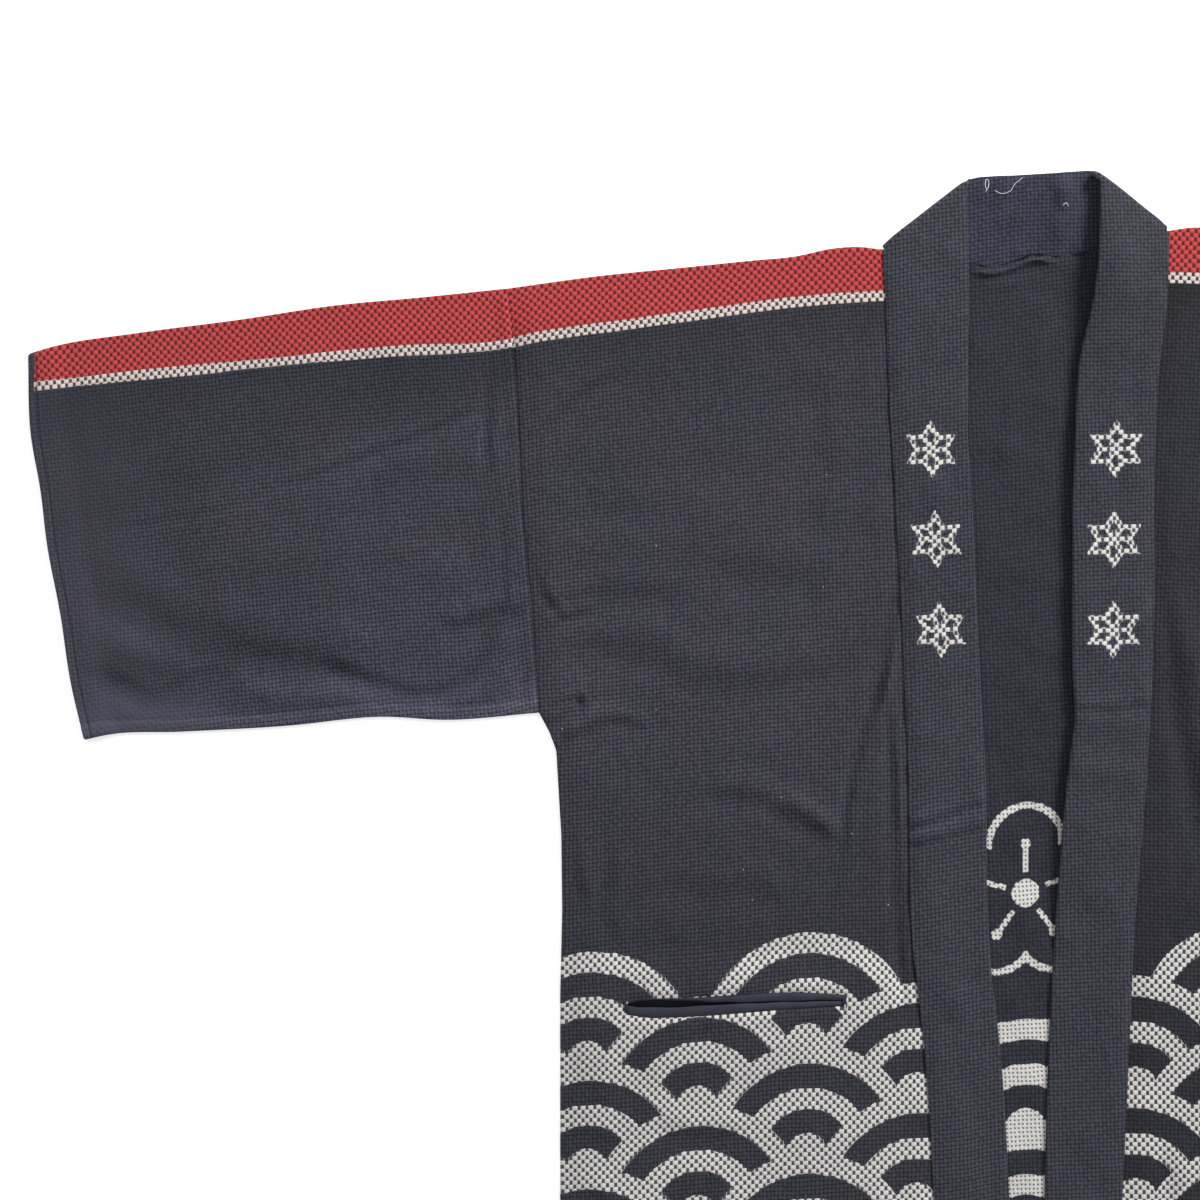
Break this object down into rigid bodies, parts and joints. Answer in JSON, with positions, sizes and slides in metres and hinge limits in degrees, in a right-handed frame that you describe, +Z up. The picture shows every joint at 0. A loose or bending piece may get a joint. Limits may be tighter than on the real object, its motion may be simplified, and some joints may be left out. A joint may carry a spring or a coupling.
{
  "type": "happi coat",
  "caption": "Short open-fronted happi coat laid flat, with straight sleeves, a long collar band and a slit pocket.",
  "frame": {"origin": "under the middle of the coat's box, on the surface it lies on", "axes": "+X to the wearer's left, along the sleeves; +Y from hem to neck; +Z up out of the coat's front"},
  "size_m": [1.3068, 0.8484, 0.0084],
  "materials": {
    "back": "matt raised-stitch cotton",
    "front_right": "matt raised-stitch cotton",
    "front_left": "matt raised-stitch cotton",
    "sleeve_right": "matt raised-stitch cotton",
    "sleeve_left": "matt raised-stitch cotton",
    "collar": "matt raised-stitch cotton",
    "pocket_welt": "smooth plain cotton",
    "pocket_bag": "smooth plain cotton"
  },
  "bodies": {
    "root": {"back": "back", "front_right": "front_right", "front_left": "front_left", "sleeve_right": "sleeve_right", "sleeve_left": "sleeve_left", "collar": "collar", "pocket_welt_upper": "pocket_welt", "pocket_welt_lower": "pocket_welt", "pocket_bag": "pocket_bag"}
  },
  "joints": []
}
